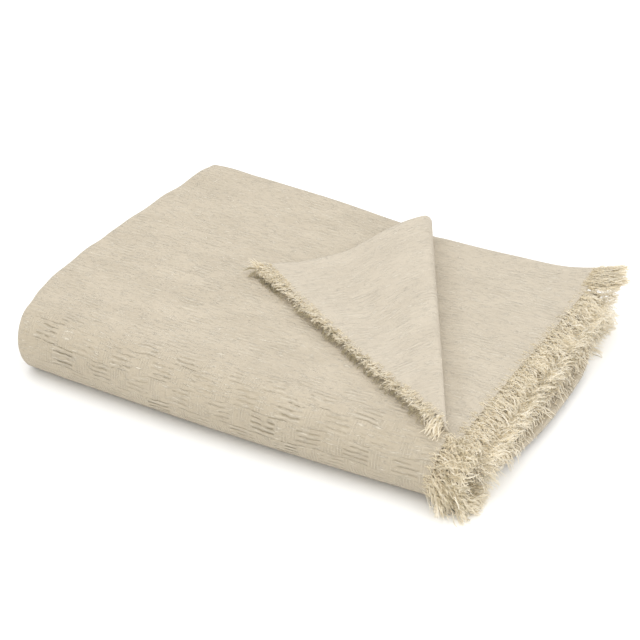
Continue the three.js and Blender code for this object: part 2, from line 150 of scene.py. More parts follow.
def read(table, key, at, column):
    """A column of a table as a smooth curve through its rows."""
    k = np.array(table[key], float)
    v = np.array(table[column], float)
    step = np.diff(k)
    slope = np.diff(v) / step
    inner = (slope[:-1] * step[1:] + slope[1:] * step[:-1]) / (step[:-1] + step[1:])
    tangent = np.concatenate([slope[:1], inner, slope[-1:]])
    at = np.clip(at, k[0], k[-1])
    i = np.clip(np.searchsorted(k, at, side="right") - 1, 0, len(step) - 1)
    t = (at - k[i]) / step[i]
    a = (1 + 2 * t) * (1 - t) ** 2 * v[i] + t * (1 - t) ** 2 * step[i] * tangent[i]
    b = t * t * (3 - 2 * t) * v[i + 1] + t * t * (t - 1) * step[i] * tangent[i + 1]
    return a + b


def level(n):
    return SKIN + n * PITCH


def soft_noise(seed, *coordinates):
    """A smooth uneven wave of about unit height over the given coordinates, in radians."""
    rng = np.random.default_rng(seed)
    total = 0.0
    for weight in (0.5, 0.3, 0.2):
        phase = rng.uniform(0, 2 * math.pi)
        for c in coordinates:
            phase = phase + c * rng.uniform(0.6, 1.7) * rng.choice((-1, 1))
        total = total + weight * np.sin(phase)
    return total


# ---- the stack's own unevenness ----

fold_run = FOLD_BACK - FOLD_FRONT
FOLD_LENGTH = float(np.hypot(*fold_run))
ALONG_FOLD = fold_run / FOLD_LENGTH
ACROSS_FOLD = np.array([ALONG_FOLD[1], -ALONG_FOLD[0]])


def fold_coordinates(x, y):
    """Distance along the turned corner's fold line, and across it towards the back right."""
    dx = x - FOLD_FRONT[0]
    dy = y - FOLD_FRONT[1]
    return dx * ALONG_FOLD[0] + dy * ALONG_FOLD[1], dx * ACROSS_FOLD[0] + dy * ACROSS_FOLD[1]


def roll_at(q):
    return lerp(ROLL_FRONT, ROLL_BACK, np.clip(q / FOLD_LENGTH, 0, 1))


def top_relief(x, y):
    """Soft rises and hollows of the upper layers."""
    q, u = fold_coordinates(x, y)
    trough = -TROUGH_DEPTH * np.exp(-(((u - TROUGH_AT) / MARK_WIDTH) ** 2)) * ramp(q, -20, 60)
    ridge = RIDGE_HEIGHT * np.exp(-(((u - RIDGE_AT) / MARK_WIDTH) ** 2))
    ridge = ridge * ramp(q, 0, 60) * ramp(FOLD_LENGTH - q, 0, 80)
    waves = WAVE_HEIGHT * soft_noise(3, x / 38, y / 46) + RIPPLE_HEIGHT * soft_noise(4, x / 21, y / 24)
    back_left = BACK_LEFT_RISE * ramp(-x, 175, 60) * ramp(y, 125, 45)
    return trough + ridge + waves + back_left


def settle(p):
    """Takes points of a neat block to their places in the real stack."""
    x, y, z = p[..., 0], p[..., 1], p[..., 2]

    def across(column):
        return read(ACROSS, "y", y, column)

    def along(column):
        return read(ALONG, "x", x, column)

    lifted = smooth((z - level(TOP_LEVEL - 2)) / PITCH)
    height = np.clip(z / level(TOP_LEVEL), 0, 1)
    corner = ramp(y, 150, 40) * ramp(-x, 205, 45)
    lumps = LEFT_SWELL * soft_noise(5, y / 17, z / 30) + LEFT_LUMP * soft_noise(6, y / 7, z / 12)
    lumps = lumps * ramp(-x, 215, 30)
    return np.stack(
        [
            x + along("from_left") * across("left") + CORNER_IN_X * corner + lumps,
            y
            + across("to_back") * along("back")
            - across("to_front") * along("bow")
            - CORNER_IN_Y * corner,
            z * (1 - across("to_back") * along("sink"))
            + lifted * across("curl") * along("curl")
            + height**2 * top_relief(x, y),
        ],
        axis=-1,
    )


# ---- the path that folds the pack across the width ----

FRONT_RADIUS = TOP_LEVEL / 2 * PITCH
PACK_RADIUS = (2 * LAYERS_IN_PACK - 1) / 2 * PITCH
FRONT_CENTRE = FRONT + FRONT_RADIUS + SKIN
BACK_CENTRE = BACK - PACK_RADIUS - SKIN
INNER_CENTRE = FRONT_CENTRE + INNER_CREASE_IN
MIDDLE = level(TOP_LEVEL / 2)
PACK_MIDDLE = level((2 * LAYERS_IN_PACK - 1) / 2)
INNER_LEVEL = 2 * LAYERS_IN_PACK - 1

# Each flat stretch: from y, to y, level, and which way the pack's other layers lie.
FLATS = {
    TOP: (BACK - TOP_BACK_EDGE, FRONT_CENTRE, TOP_LEVEL, -1),
    BOTTOM: (FRONT_CENTRE, BACK_CENTRE, 0, 1),
    INNER: (BACK_CENTRE, INNER_CENTRE, INNER_LEVEL, -1),
    INNER_TOP: (INNER_CENTRE, BACK - INNER_BACK_EDGE, INNER_LEVEL + 1, 1),
}
# Each turn: centre y and z, radius, start angle, sweep, and which way the other layers lie.
TURNS = {
    FRONT_TURN: (FRONT_CENTRE, MIDDLE, FRONT_RADIUS, math.pi / 2, math.pi, -1),
    BACK_CREASE: (BACK_CENTRE, PACK_MIDDLE, PACK_RADIUS, -math.pi / 2, math.pi, -1),
    INNER_CREASE: (INNER_CENTRE, MIDDLE, PITCH / 2, -math.pi / 2, -math.pi, 1),
}


def station(stretch, share):
    """Place of the outermost layer on the fold path, the way in to the others, and arc length."""
    y, z, in_y, in_z, reach = np.zeros((5, len(share)))
    run = 0.0
    for i in STRETCHES:
        here = stretch == i
        s = share[here]
        if i in FLATS:
            start, end, row, way = FLATS[i]
            y[here] = lerp(start, end, s)
            z[here] = level(row)
            in_z[here] = way
            length = abs(end - start)
        else:
            centre_y, centre_z, radius, start, sweep, way = TURNS[i]
            angle = start + sweep * s
            y[here] = centre_y + radius * np.cos(angle)
            z[here] = centre_z + radius * np.sin(angle)
            in_y[here] = way * np.cos(angle)
            in_z[here] = way * np.sin(angle)
            length = abs(sweep) * radius
        reach[here] = run + length * s
        run += length
    return y, z, in_y, in_z, reach


def layer_end(name, stretch, share, y):
    """How far along X a layer of the pack reaches, at points of the fold path."""
    ends = np.array(LAYER_ENDS[name])
    at = lerp(ends[stretch], ends[stretch + 1], smooth(share))
    if name == "first":
        turned = (stretch == TOP) * np.sin(math.pi * np.clip(share, 0, 1))
        at = at + turned * (FLAP_EDGE_BOW * share - FLAP_EDGE_HOLLOW * (1 - share))
    if name == "crease":
        bulges = np.where(stretch == BOTTOM, 1.0, np.where(stretch == INNER, INNER_BULGE, 0.0))
        at = at + bulges * read(ACROSS, "y", y, "lower_crease")
    return at


# ---- the section that goes back and forth along the length ----

PARTS = range(7)
LAYER_0, WIDE_CREASE, LAYER_3, RIGHT_CREASE, LAYER_2, LEFT_CREASE, LAYER_1 = PARTS
HALF_TURN = math.pi
WIDE_RADIUS = 1.5  # in layers, because this crease goes round the tight ones
TIGHT_RADIUS = 0.5


def section(part, share, ends):
    """Place (x, depth), outward direction and length along the cloth of points of the section."""
    first, second, crease, left = ends
    outer = left + WIDE_RADIUS * PITCH + SKIN
    inner = outer + INNER_LEFT_CREASE_IN
    right = crease - TIGHT_RADIUS * PITCH - SKIN
    x, depth, out_x, out_d, cloth_at = np.zeros((5, len(share)))
    # how far along the cloth each run and each crease starts
    at_wide = FOLDED_LENGTH / 2 - outer
    at_third = at_wide + WIDE_RADIUS * PITCH * HALF_TURN
    at_right = at_third + right - outer
    at_second = at_right + TIGHT_RADIUS * PITCH * HALF_TURN
    at_left = at_second + right - inner
    at_first = at_left + TIGHT_RADIUS * PITCH * HALF_TURN
    # each run: from x, to x, depth in layers, which side is out, and where it starts
    runs = {
        LAYER_0: (first, outer, 0, -1, FOLDED_LENGTH / 2 - first),
        LAYER_3: (outer, right, 3, 1, at_third),
        LAYER_2: (right, inner, 2, -1, at_second),
        LAYER_1: (inner, second, 1, 1, at_first),
    }
    # each crease: centre's x and depth, radius, start in quarter turns, way round, and the same
    turns = {
        WIDE_CREASE: (outer, 1.5, WIDE_RADIUS, -1, -1, 1, at_wide),
        RIGHT_CREASE: (right, 2.5, TIGHT_RADIUS, 1, -1, 1, at_right),
        LEFT_CREASE: (inner, 1.5, TIGHT_RADIUS, 1, 1, -1, at_left),
    }
    for i in PARTS:
        here = part == i
        s = share[here]
        if i in runs:
            start, end, row, way, start_at = runs[i]
            x[here] = lerp(start[here], end[here], s)
            depth[here] = row * PITCH
            out_d[here] = way
            cloth_at[here] = start_at[here] + np.abs(x[here] - start[here])
        else:
            centre, row, radius, start, sweep, way, start_at = turns[i]
            angle = start * HALF_TURN / 2 + sweep * HALF_TURN * s
            x[here] = centre[here] + radius * PITCH * np.cos(angle)
            depth[here] = (row + radius * np.sin(angle)) * PITCH
            out_x[here] = way * np.cos(angle)
            out_d[here] = way * np.sin(angle)
            cloth_at[here] = start_at[here] + radius * PITCH * HALF_TURN * s
    return x, depth, out_x, out_d, cloth_at


# ---- the turned corner ----


def turn_corner(p, n, on_top):
    """Rolls the corner of the top layer over along its fold line."""
    q, u = fold_coordinates(p[..., 0], p[..., 1])
    roll = roll_at(q)
    width = roll * ROLL_WIDTH
    past = np.where(on_top, u + width, -1.0)
    arc = math.pi * roll * math.sqrt((1 + ROLL_WIDTH**2) / 2)
    angle = np.clip(past / arc, 0, 1) * math.pi
    inside = np.maximum(past - arc, 0)
    to_edge = flap_edge_distance(q, u)
    resting = PITCH + FLAP_EDGE_LIFT * smooth(1 - to_edge / FLAP_EDGE_BAND)
    settles = lerp(SETTLE_FRONT, SETTLE_BACK, np.clip(q / FOLD_LENGTH, 0, 1))
    rise = lerp(2 * roll, resting, smooth(inside / settles) ** SETTLE_SHAPE)
    turned_u = -width + width * np.sin(angle) - inside
    turned_z = np.where(past < arc, roll * (1 - np.cos(angle)), rise)
    moves = past > 0
    shift = np.where(moves, turned_u - u, 0)
    out = p.copy()
    out[..., 0] += shift * ACROSS_FOLD[0]
    out[..., 1] += shift * ACROSS_FOLD[1]
    out[..., 2] += np.where(moves, turned_z, 0)
    tall, wide = np.sin(angle), ROLL_WIDTH * np.cos(angle)
    size = np.hypot(tall, wide)
    turned = n.copy()
    turned[..., 0] -= np.where(moves, tall / size, 0) * ACROSS_FOLD[0]
    turned[..., 1] -= np.where(moves, tall / size, 0) * ACROSS_FOLD[1]
    turned[..., 2] = np.where(moves, wide / size, n[..., 2])
    return out, turned


def flap_edge_distance(q, u):
    """Distance, before the corner is turned, from its fringed edge."""
    corner_q, corner_u = fold_coordinates(LAYER_ENDS["first"][0], BACK - TOP_BACK_EDGE - TURNED_BACK_IN)
    length = math.hypot(corner_q, corner_u)
    return np.abs(q * corner_u - u * corner_q) / length


# ---- the cloth as a surface of two parameters ----

ROWS_IN_TOP = 76
FINER_BEFORE = 5.0  # the grid is finer round the roll, from this far before it
FINER_AFTER = 8.0  # to this far after three of its radii
EDGE_BULGE = 0.4  # the cut edge is rounded out by this share of the thickness
INWARD = 0.2  # of a grid cell, to find which way the edge faces


class Lines:
    """Grid lines in one direction: cells belong to numbered parts, each cut at given shares."""

    def __init__(self, parts):
        self.part = []
        self.start = []
        self.end = []
        for part, shares in parts:
            for a, b in zip(shares[:-1], shares[1:]):
                self.part.append(part)
                self.start.append(a)
                self.end.append(b)
        self.part = np.array(self.part)
        self.start = np.array(self.start)
        self.end = np.array(self.end)
        self.cells = len(self.part)

    def at(self, position):
        """The part, and the share of the way through it, at positions counted in cells."""
        cell = np.clip(np.floor(position).astype(int), 0, self.cells - 1)
        return self.part[cell], lerp(self.start[cell], self.end[cell], position - cell)


def even(cells):
    return np.linspace(0, 1, cells + 1)


def finer_at_ends(cells):
    """Shares that crowd a little towards both ends."""
    t = even(cells)
    return lerp(t, smooth(t), 0.5)


def finer_at_fringe(cells, fine_cells):
    """Shares with the wider cells in the first half, and the finer ones up to the fringed end."""
    return np.concatenate([lerp(0, 0.5, even(cells))[:-1], lerp(0.5, 1, even(fine_cells))])


COLUMNS = Lines(
    [
        (LAYER_0, even(112)),
        (WIDE_CREASE, even(10)),
        (LAYER_3, finer_at_ends(24)),
        (RIGHT_CREASE, even(6)),
        (LAYER_2, finer_at_ends(22)),
        (LEFT_CREASE, even(6)),
        (LAYER_1, finer_at_fringe(16, 48)),
    ]
)
ROWS = Lines(
    [
        (TOP, even(ROWS_IN_TOP)),
        (FRONT_TURN, even(24)),
        (BOTTOM, finer_at_ends(16)),
        (BACK_CREASE, even(10)),
        (INNER, finer_at_ends(14)),
        (INNER_CREASE, even(6)),
        (INNER_TOP, finer_at_ends(16)),
    ]
)


def neat_place(part, share, stretch, along, beyond=0.0):
    """Point, outward direction and cloth coordinates. beyond reaches past a fringed end."""
    y, z, in_y, in_z, reach = station(stretch, along)
    on_top = (part == LAYER_0) & (stretch == TOP)
    ends = [layer_end(name, stretch, along, y) for name in ("first", "second", "crease", "left")]
    x, depth, out_x, out_d, cloth_at = section(part, share, ends)
    y = y - np.where(on_top, TURNED_BACK_IN * (1 - along) * ramp(x, 20, 230), 0)
    x = x + beyond
    p = np.stack([x, y + in_y * depth, z + in_z * depth], axis=-1)
    n = np.stack([out_x, in_y * out_d, in_z * out_d], axis=-1)
    p, n = turn_corner(p, n, on_top)
    return p, n, np.stack([cloth_at, reach], axis=-1)


def cloth_place(column, row, offset):
    """Settled point of the cloth, offset millimetres out from its middle."""
    part, share = COLUMNS.at(column)
    stretch, along = ROWS.at(row)
    p, n, uv = neat_place(part, share, stretch, along)
    return settle(p + n * offset), uv


def cloth_grid():
    """Flat grid of parameters, refined where the turned corner rolls."""
    bm = bmesh.new()
    verts = [[bm.verts.new((c, r, 0)) for c in range(COLUMNS.cells + 1)] for r in range(ROWS.cells + 1)]
    for r in range(ROWS.cells):
        for c in range(COLUMNS.cells):
            bm.faces.new((verts[r][c], verts[r][c + 1], verts[r + 1][c + 1], verts[r + 1][c]))
    middles = np.array([f.calc_center_median()[:2] for f in bm.faces])
    part, share = COLUMNS.at(middles[:, 0])
    stretch, along = ROWS.at(middles[:, 1])
    y, _, _, _, _ = station(stretch, along)
    ends = [layer_end(name, stretch, along, y) for name in ("first", "second", "crease", "left")]
    x = section(part, share, ends)[0]
    q, u = fold_coordinates(x, y)
    past = u + roll_at(q)
    in_roll = (past > -FINER_BEFORE) & (past < 3 * roll_at(q) + FINER_AFTER)
    rolled = (part == LAYER_0) & (stretch == TOP) & in_roll
    bm.faces.ensure_lookup_table()
    edges = {e for i in np.nonzero(rolled)[0] for e in bm.faces[int(i)].edges}
    bmesh.ops.subdivide_edges(bm, edges=list(edges), cuts=1, use_grid_fill=True)
    bm.verts.index_update()
    params = np.array([v.co[:2] for v in bm.verts])
    faces = [[v.index for v in f.verts] for f in bm.faces]
    around = {}
    for e in bm.edges:
        if e.is_boundary:
            loop = e.link_loops[0]
            around[loop.vert.index] = loop.link_loop_next.vert.index
    bm.free()
    return params, faces, around


def add_mesh(name, points, faces, uv=None, smoothed=True):
    """Makes an object from points, and places on the flat cloth, in millimetres."""
    mesh = bpy.data.meshes.new(name)
    mesh.from_pydata((np.asarray(points) * MM).tolist(), [], faces)
    if uv is not None:
        layer = mesh.uv_layers.new(name="cloth")
        loops = np.empty(len(mesh.loops), dtype=np.int64)
        mesh.loops.foreach_get("vertex_index", loops)
        layer.data.foreach_set("uv", (np.asarray(uv)[loops] * MM).astype(np.float32).ravel())
    mesh.polygons.foreach_set("use_smooth", np.full(len(mesh.polygons), smoothed))
    mesh.update()
    thing = bpy.data.objects.new(name, mesh)
    bpy.context.collection.objects.link(thing)
    return thing


def make_cloth(shift):
    """The whole cloth as one closed sheet: an outer face, an inner face and a rounded edge."""
    params, faces, around = cloth_grid()
    column, row = params[:, 0], params[:, 1]
    upper, uv = cloth_place(column, row, CLOTH / 2)
    lower, _ = cloth_place(column, row, -CLOTH / 2)
    count = len(params)
    rim = np.array(list(around.keys()))
    middle, _ = cloth_place(column[rim], row[rim], 0)
    inner_column = np.clip(column[rim], INWARD, COLUMNS.cells - INWARD)
    inner_row = np.clip(row[rim], INWARD, ROWS.cells - INWARD)
    inner, _ = cloth_place(inner_column, inner_row, 0)
    bulge = middle + unit(middle - inner) * CLOTH * EDGE_BULGE
    place = {int(v): 2 * count + i for i, v in enumerate(rim)}
    sides = [list(f) for f in faces] + [[v + count for v in reversed(f)] for f in faces]
    for a, b in around.items():
        sides.append([b, a, place[a], place[b]])
        sides.append([place[b], place[a], a + count, b + count])
    points = np.concatenate([upper, lower, bulge]) + shift
    uvs = np.concatenate([uv, uv, uv[rim]])
    throw = add_mesh("woven_throw", points, sides, uvs)
    reverse = throw.data.attributes.new("reverse", "FLOAT", "POINT")
    reverse.data.foreach_set("value", (np.arange(len(points)) // count == 1).astype(np.float32))
    return throw


# ---- fringes ----

FRINGE = 27.0
STRAND_RADIUS = 0.4
STRAND_RINGS = 9
STRAND_SIDES = 3
# Thickness along a strand, which fluffs out before its tip, and the size of its flattened section.
STRAND_PROFILE = np.array([0.9, 1.0, 0.9, 0.9, 1.0, 1.1, 1.2, 1.1, 0.6])
STRAND_WIDTH = 1.3
STRAND_HEIGHT = 0.45
FLAT_SIDE_UP = 0.75  # of a turn
WARP_IN = 2.0  # each strand starts this far inside the cloth's edge
POINTS_TO = FRINGE * 0.3  # and sets out for a point this far past it
BESIDE = 0.05  # of a grid cell, to find the way along the edge
TUFT = 4.0  # neighbouring yarns cling together in tufts about this wide
RINGS = np.linspace(0, 1, STRAND_RINGS)
EDGE_SAMPLES = 6000
# From one strand to the next, and how much it falls, on each stretch of the fold path.
SPACING = np.array([0.31, 0.32, 0.85, 0.8, 0.65, 0.5, 0.48])
FALL = np.array([0.8, 0.9, 0.1, 0.9, 0.9, 0.5, 0.0])

CUT_SHORT = 0.2  # this share of the strands is cut shorter than the rest
UNDERNEATH = 0.28  # of the turned corner's strands, those that come out from under its edge
WORKED_LOOSE = 0.3  # of all strands
SHORT_BITS = 0.6  # of all strands, caught among the others
TUFT_CRUMPLE = (1.0, 0.4)  # sideways and up, in millimetres
STRAND_CRUMPLE = 0.6
CLEAR_OF_CLOTH = 1.8 * STRAND_RADIUS
HEAP_HEIGHT = 17.0  # strands at the front corner pile up to this height on the floor
LEVEL_UNDER_INNER = 5  # the layer that the inner stretch's strands lie on
NO_CLOTH = -1
STACK_RIGHT = 255.0


def strand_rows(low, high, rng):
    """Row positions of the strands from low to high, and their places along the cloth's edge."""
    fine = np.linspace(low, high, EDGE_SAMPLES)
    reach = station(*ROWS.at(fine))[4]
    stretch, _ = ROWS.at((fine[1:] + fine[:-1]) / 2)
    _, along = ROWS.at(fine[1:])
    # they crowd at the back corner, and where the front fold comes down to the floor
    at_back_corner = (stretch == TOP) * smooth((0.13 - along) / 0.03)
    above_floor = (stretch == FRONT_TURN) * smooth(3 * along - 2)
    on_floor = (stretch == BOTTOM) * smooth(1 - along / 0.1)
    crowded = 1 + 3 * at_back_corner + 3.5 * above_floor + 3.5 * on_floor
    strands = np.concatenate([[0], np.cumsum(np.diff(reach) / SPACING[stretch] * crowded)])
    wanted = np.arange(int(strands[-1])) + rng.uniform(0, 1, int(strands[-1]))
    rows = np.interp(wanted, strands, fine)
    return rows, np.interp(rows, fine, reach)


def tufts_of(reach, rng):
    """Gathers strands into tufts: the middle of each one's tuft, and the tuft's number."""
    edges = [reach.min() - TUFT]
    while edges[-1] < reach.max() + TUFT:
        edges.append(edges[-1] + TUFT * rng.uniform(0.5, 1.6))
    edges = np.array(edges)
    tuft = np.searchsorted(edges, reach) - 1
    return (edges[tuft] + edges[tuft + 1]) / 2, tuft


class FringedEdge:
    """Where each strand leaves the cloth, which way it points, and its place in the stack."""

    def __init__(self, part, low, high, rng):
        rows, reach = strand_rows(low, high, rng)
        self.part = part
        self.count = len(rows)
        self.stretch, self.along = ROWS.at(rows)
        parts = np.full(self.count, part)
        share = np.full(self.count, 1.0 if part == LAYER_1 else 0.0)
        root, _, _ = neat_place(parts, share, self.stretch, self.along, -WARP_IN)
        past, _, _ = neat_place(parts, share, self.stretch, self.along, POINTS_TO)
        beside, _, _ = neat_place(parts, share, *ROWS.at(rows + BESIDE), -WARP_IN)
        self.root = settle(root)
        self.out = unit(settle(past) - self.root)
        self.side = unit(settle(beside) - self.root)
        up = unit(np.cross(self.out, self.side))
        flat = np.isin(self.stretch, (TOP, BOTTOM, INNER, INNER_TOP))
        upright = np.where(flat, up[:, 2], np.sign(self.root[:, 1]) * up[:, 1])
        self.up = up * np.where(upright < 0, -1, 1)[:, None]
        middle, self.tuft = tufts_of(reach, rng)
        self.tufts = self.tuft.max() + 1
        self.to_middle = middle - reach
        self.find_places(rng)

    def find_places(self, rng):
        """
        How far, from 0 to 1, each strand is at each of the places that differ from the rest.
        Their bounds are shares of a stretch of the fold path, or millimetres in y and z.
        """
        stretch, along = self.stretch, self.along
        y, z = self.root[:, 1], self.root[:, 2]
        on_second = self.part == LAYER_1
        top_of_second = (stretch == TOP) * on_second
        short = rng.uniform(0, 1, self.count) < CUT_SHORT
        self.cut = np.where(short, rng.uniform(0.5, 1, self.count), 1)
        # on the second end: its corner at the back, beside that, and the rest of its upper row
        self.back_corner = top_of_second * smooth((0.125 - along) / 0.03)
        self.beside_corner = top_of_second * smooth(1 - np.abs(along - 0.155) / 0.04)
        self.upper_row = top_of_second * (1 - self.back_corner)
        # on the turned corner: all of it, its two tips, and the strands from under its edge
        self.on_flap = (stretch == TOP) * (self.part == LAYER_0)
        self.back_tip = self.on_flap * smooth(1 - along / 0.06)
        self.front_tip = self.on_flap * smooth((along - 0.9) / 0.08)
        under = rng.uniform(0, 1, self.count) < UNDERNEATH
        self.underneath = self.on_flap * (1 - self.front_tip) * under
        self.over_edge = (self.on_flap - self.underneath) * (1 - self.front_tip)
        # on the stack's right side
        low = smooth(1.3 - z / 40)
        self.near_floor = low * smooth((FRONT + 80 - y) / 45)
        self.low_back = low * smooth((y - 70) / 60)
        self.at_back = (stretch != TOP) * smooth((y - 120) / 50)
        amid = smooth((110 - y) / 30) * smooth((y - FRONT - 40) / 50)
        self.lower_right = amid * (stretch == INNER) * on_second
        self.front_turn = (stretch == FRONT_TURN) * 1.0
        self.inner_crease = (stretch == INNER_CREASE) * 1.0
        self.inner_top = (stretch == INNER_TOP) * 1.0
        # the bundle where the front fold's strands meet the floor, and the column above it
        turns_under = (stretch == FRONT_TURN) | ((stretch == BOTTOM) & (along < 0.12))
        self.bundle = self.near_floor * turns_under
        self.column = (stretch == FRONT_TURN) & (z > 20)
        left_long = np.maximum.reduce([0.7 * self.back_corner, self.underneath, 0.8 * self.bundle])
        self.cut = lerp(self.cut, 1, left_long)


def strand_lengths(edge, rng):
    """Length of each strand: they were cut alike, but some places show more of them or less."""
    along = edge.along
    longer = (
        0.05 * edge.upper_row
        + 0.12 * edge.inner_top
        - 0.06 * edge.at_back
        + 0.14 * edge.underneath
        + (0.18 + 3 * along) * edge.back_corner
        + 0.3 * edge.front_tip
        + 0.15 * edge.low_back
        + 0.3 * edge.back_tip
        + 0.28 * edge.lower_right
        + (0.12 if edge.part == LAYER_0 else 0.45) * edge.near_floor
        - (0.6 - 0.22 * np.abs(2 * along - 1)) * edge.on_flap
        - 0.12 * edge.beside_corner
    )
    uneven = 1 + rng.normal(0, 0.045, edge.tufts)[edge.tuft] + rng.normal(0, 0.035, edge.count)
    return FRINGE * (1 + longer) * uneven * edge.cut


def walk_out(edge, length, rng):
    """Each strand as a row of centre points, bending as it goes from its root to its tip."""
    count, tufts, tuft = edge.count, edge.tufts, edge.tuft
    # sideways, up and together: first as a tuft, and then each strand on its own
    swing = rng.normal(0, 0.18, tufts)[tuft] + rng.normal(0, 0.3, count)
    swing = swing * (1 - 0.75 * edge.back_corner) - 0.28 * edge.back_corner
    swing = (swing + edge.front_tip * rng.uniform(0, 2, count)) * (1 - 0.4 * edge.bundle)
    lift = rng.normal(0, 0.12, tufts)[tuft] + rng.normal(0, 0.16, count)
    gather = edge.to_middle * rng.uniform(0, 0.5, tufts)[tuft] / FRINGE
    lift = lift * (1 - 0.7 * edge.back_corner) + rng.uniform(-0.9, 0.9, count) * edge.inner_crease
    lift = lift + 0.16 * edge.over_edge + 0.3 * edge.inner_top
    # down with their weight, and forward where they spread on the floor
    falls = FALL[edge.stretch] * rng.uniform(0.6, 1.4, tufts)[tuft]
    falls = falls * (1 - 0.9 * edge.back_corner) * (1 - 0.95 * edge.over_edge)
    splayed = rng.uniform(0, 1, count) < (0.35 if edge.part == LAYER_0 else 0.05)
    forward = np.where(splayed, rng.uniform(1.2, 2.6, count), rng.uniform(-0.3, 0.7, count))
    forward = forward * edge.near_floor
    curl_turn = rng.uniform(0, 2 * math.pi, (2, count))
    curl_size = rng.uniform(0.1, 0.7, (2, count))
    curl_rate = rng.uniform(5, 13, (2, count))

    steps = []
    for k in range(STRAND_RINGS - 1):
        t = (k + 0.5) / (STRAND_RINGS - 1)
        sideways = swing * 1.3 * t + gather + curl_size[0] * np.sin(curl_rate[0] * t + curl_turn[0])
        upwards = lift * (0.4 + t) + curl_size[1] * 0.5 * np.sin(curl_rate[1] * t + curl_turn[1])
        step = edge.out + edge.side * sideways[:, None] + edge.up * upwards[:, None]
        step[:, 1] -= forward * math.sqrt(t)
        step[:, 2] -= falls * t
        steps.append(unit(step) * (length / (STRAND_RINGS - 1))[:, None])
    # some have worked loose, and lie on the cloth before they leave it
    loose = np.where(rng.uniform(0, 1, count) < WORKED_LOOSE, rng.uniform(1, 6, count), 0)
    loose = loose * (1 - 0.5 * edge.on_flap)
    above = np.where(loose > 0, CLOTH / 2 + 0.3, rng.uniform(-0.8, 0.8, count))
    start = edge.root - edge.out * loose[:, None] + edge.up * above[:, None]
    walked = start[:, None] + np.cumsum(np.stack(steps, axis=1), axis=1)
    return np.concatenate([start[:, None], walked], axis=1)


def catch_short_bits(edge, centre, rng):
    """Cuts about half of the strands to short bits, caught among the others part of the way down."""
    count = edge.count
    caught = rng.uniform(0, 1, count) < SHORT_BITS - 0.35 * edge.bundle - 0.3 * edge.back_corner
    begins = np.where(caught, rng.uniform(0.08, 0.7, count), 0)
    covers = np.where(caught, rng.uniform(0.22, 0.3, count), 1)
    at = (begins[:, None] + covers[:, None] * RINGS) * (STRAND_RINGS - 1)
    before = np.minimum(at.astype(int), STRAND_RINGS - 2)
    strand = np.arange(count)[:, None]
    centre = lerp(centre[strand, before], centre[strand, before + 1], (at - before)[..., None])
    aside = caught * rng.normal(0, 2.0, count)
    stands_up = caught * rng.uniform(0.3, 1.2, count)
    centre = centre + edge.side[:, None] * (aside[:, None] * RINGS)[..., None]
    centre = centre + edge.up[:, None] * (stands_up[:, None] * RINGS)[..., None]
    return centre, caught


def crumple(edge, centre, caught, rng):
    """Washing has crumpled each tuft as a whole, and its strands a little more."""
    creases = rng.normal(0, TUFT_CRUMPLE, (edge.tufts, STRAND_RINGS, 2))[edge.tuft]
    creases = creases + rng.normal(0, STRAND_CRUMPLE, (edge.count, STRAND_RINGS, 2))
    amount = (1 - 0.5 * caught) * (1 - 0.55 * edge.on_flap + 0.4 * edge.front_turn)
    creases = creases * amount[:, None, None] * ramp(RINGS, 0, 0.3)[None, :, None]
    return centre + edge.side[:, None] * creases[..., :1] + edge.up[:, None] * creases[..., 1:]


def rest_on_cloth(edge, centre, rng):
    """Lifts strands onto whatever cloth is below them, or onto the floor."""
    stretch, along = edge.stretch, edge.along
    row_below = np.where(stretch == INNER, LEVEL_UNDER_INNER, NO_CLOTH)
    row_below = np.where(edge.on_flap > 0, TOP_LEVEL, row_below)
    crease_end = layer_end("crease", stretch, along, station(stretch, along)[0])
    cloth_right = np.where(stretch == INNER, crease_end + CLOTH, STACK_RIGHT)
    below = centre.copy()
    below[..., 2] = level(row_below)[:, None]
    cloth_below = settle(below)[..., 2] + CLOTH / 2
    over_cloth = (row_below[:, None] != NO_CLOTH) & (centre[..., 0] < cloth_right[:, None])
    lowest = np.where(over_cloth, cloth_below, 0) + CLEAR_OF_CLOTH
    heap = CLEAR_OF_CLOTH + HEAP_HEIGHT * edge.near_floor * rng.uniform(0, 1, edge.count) ** 2
    lowest = np.maximum(lowest, heap[:, None] * RINGS)
    centre[..., 2] = np.maximum(centre[..., 2], lowest)
    return centre


def strand_shades(edge, rng):
    """Each strand's shade: 0 to 1 is its own tone from plain to pale, and below 0 is painted shade that
    darkens it towards the tip.
    """
    # painted shade: strands in the column above the bundle lean towards the plainer, darker tone
    shade = rng.uniform(0, 1, edge.count) ** np.where(edge.column, 3.0, 0.9)
    # painted shade: a few tufts darken towards the tip, standing in for the shade in gaps among them
    painted_shade_tufts = rng.uniform(0, 1, edge.tufts)[edge.tuft] < 0.02
    # painted light: the bundle's strands are pulled towards an even, slightly paler shade, to brighten
    # the bundle near the floor
    shade = lerp(shade, 0.6, 0.7 * edge.bundle)
    # painted shade: half of the column's strands darken towards the tip
    in_column = edge.column & (rng.uniform(0, 1, edge.count) < 0.5)
    shade = np.where(in_column, rng.uniform(-0.7, -0.3, edge.count), shade)
    # painted shade at the tip for the strands from under the turned corner's edge, standing in for the
    # shade beneath it
    return np.where((edge.underneath > 0.5) | painted_shade_tufts, -1.0, shade)


def make_strands(name, part, low, high, seed, shift):
    """Cut yarn ends along a fringed end, as one mesh."""
    rng = np.random.default_rng(seed)
    edge = FringedEdge(part, low, high, rng)
    centre = walk_out(edge, strand_lengths(edge, rng), rng)
    centre, caught = catch_short_bits(edge, centre, rng)
    centre = crumple(edge, centre, caught, rng)
    centre = rest_on_cloth(edge, centre, rng)
    facing = edge.up + edge.side * rng.normal(0, 0.35, (edge.count, 1))
    facing[:, 2] += 0.5 * edge.front_turn
    shade = strand_shades(edge, rng)
    return join_strands(name, centre + shift, unit(facing), shade, rng)


